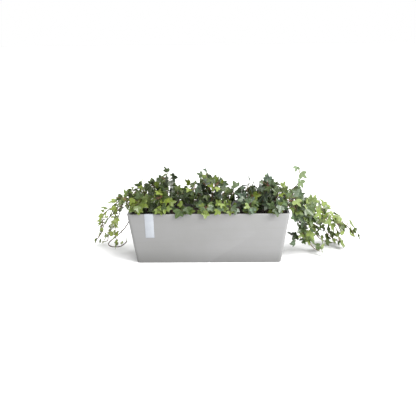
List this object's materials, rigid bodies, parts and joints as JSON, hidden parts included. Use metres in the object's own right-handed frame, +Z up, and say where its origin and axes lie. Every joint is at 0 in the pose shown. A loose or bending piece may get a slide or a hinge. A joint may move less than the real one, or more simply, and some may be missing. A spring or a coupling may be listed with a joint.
{
  "type": "planted window box",
  "caption": "Long tapered rectangular planter box filled with ivy that mounds above the rim and trails down over both ends.",
  "frame": {"origin": "centre of the box's flat underside, where it stands on the ground or a sill", "axes": "+X along the box, towards the end with the longer and fuller trails; -Y is the long front face with the label; +Z up"},
  "size_m": [1.001, 0.2659, 0.3317],
  "materials": {
    "box_grey": "matte",
    "label_white": "satin",
    "soil": "matte",
    "ivy_dark_green": "satin",
    "ivy_mid_green": "satin",
    "ivy_young_green": "satin",
    "ivy_pale_green": "satin"
  },
  "bodies": {
    "root": {"front_label": "label_white", "ivy_back_spray_1": "ivy_mid_green", "ivy_back_spray_2": "ivy_mid_green", "ivy_back_spray_3": "ivy_mid_green", "ivy_back_spray_4": "ivy_mid_green", "ivy_back_spray_5": "ivy_mid_green", "ivy_front_spray_1": "ivy_mid_green", "ivy_front_spray_2": "ivy_mid_green", "ivy_front_spray_3": "ivy_mid_green", "ivy_front_spray_4": "ivy_mid_green", "ivy_front_spray_5": "ivy_mid_green", "ivy_front_spray_6": "ivy_mid_green", "ivy_front_spray_7": "ivy_mid_green", "ivy_front_spray_8": "ivy_mid_green", "ivy_left_bare_runner": "ivy_young_green", "ivy_left_runner_1": "ivy_young_green", "ivy_left_runner_2": "ivy_young_green", "ivy_left_runner_3": "ivy_young_green", "ivy_left_runner_4": "ivy_young_green", "ivy_left_spray_1": "ivy_mid_green", "ivy_left_spray_2": "ivy_mid_green", "ivy_plant_1_stem_1": "ivy_dark_green", "ivy_plant_1_stem_2": "ivy_dark_green", "ivy_plant_1_stem_3": "ivy_dark_green", "ivy_plant_1_stem_4": "ivy_dark_green", "ivy_plant_2_stem_1": "ivy_dark_green", "ivy_plant_2_stem_2": "ivy_dark_green", "ivy_plant_2_stem_3": "ivy_dark_green", "ivy_plant_2_stem_4": "ivy_dark_green", "ivy_plant_3_stem_1": "ivy_dark_green", "ivy_plant_3_stem_2": "ivy_dark_green", "ivy_plant_3_stem_3": "ivy_dark_green", "ivy_plant_3_stem_4": "ivy_dark_green", "ivy_plant_4_stem_1": "ivy_dark_green", "ivy_plant_4_stem_2": "ivy_dark_green", "ivy_plant_4_stem_3": "ivy_dark_green", "ivy_plant_4_stem_4": "ivy_dark_green", "ivy_plant_5_stem_1": "ivy_dark_green", "ivy_plant_5_stem_2": "ivy_dark_green", "ivy_plant_5_stem_3": "ivy_dark_green", "ivy_plant_5_stem_4": "ivy_dark_green", "ivy_plant_6_stem_1": "ivy_dark_green", "ivy_plant_6_stem_2": "ivy_dark_green", "ivy_plant_6_stem_3": "ivy_dark_green", "ivy_plant_6_stem_4": "ivy_dark_green", "ivy_right_runner_1": "ivy_mid_green", "ivy_right_runner_2": "ivy_mid_green", "ivy_right_runner_3": "ivy_mid_green", "ivy_right_runner_4": "ivy_mid_green", "ivy_right_runner_5": "ivy_mid_green", "ivy_right_runner_6": "ivy_mid_green", "ivy_right_runner_7": "ivy_mid_green", "ivy_right_runner_8": "ivy_mid_green", "ivy_right_runner_9": "ivy_mid_green", "ivy_right_upright_sprig": "ivy_pale_green", "potting_soil": "soil", "window_box": "box_grey"}
  },
  "joints": []
}
